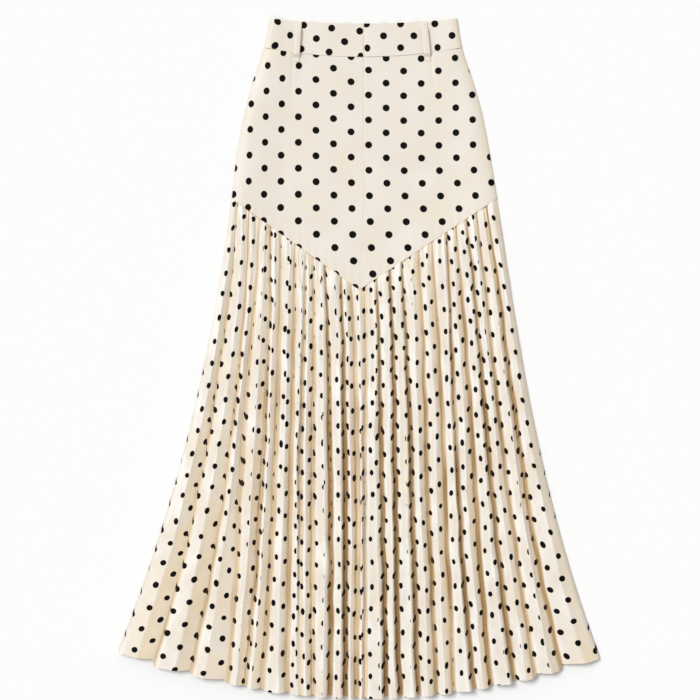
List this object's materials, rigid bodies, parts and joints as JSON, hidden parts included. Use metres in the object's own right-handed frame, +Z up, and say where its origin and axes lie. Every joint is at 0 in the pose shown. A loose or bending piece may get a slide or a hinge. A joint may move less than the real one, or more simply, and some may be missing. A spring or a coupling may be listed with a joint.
{
  "type": "pleated A-line skirt",
  "caption": "Pleated A-line skirt laid flat: a waistband with belt loops, a smooth pointed yoke, and sunray pleats down to a curved hem.",
  "frame": {"origin": "middle of the skirt's outline, on the surface that it lies on", "axes": "+X to the right of the front as it is seen, +Y up to the waist, +Z up from the surface"},
  "size_m": [0.748, 1.0548, 0.0196],
  "materials": {
    "dotted_satin": "soft satin with round black dots",
    "pleated_satin": "soft satin with round black dots, pleated",
    "plain_satin": "soft satin, plain"
  },
  "bodies": {
    "root": {"waistband_front_left": "dotted_satin", "waistband_front_right": "dotted_satin", "waistband_back": "dotted_satin", "belt_loop_left": "plain_satin", "belt_loop_right": "plain_satin", "yoke_front_left": "dotted_satin", "yoke_front_right": "dotted_satin", "yoke_back": "dotted_satin", "pleated_front": "pleated_satin", "pleated_back": "pleated_satin"}
  },
  "joints": []
}
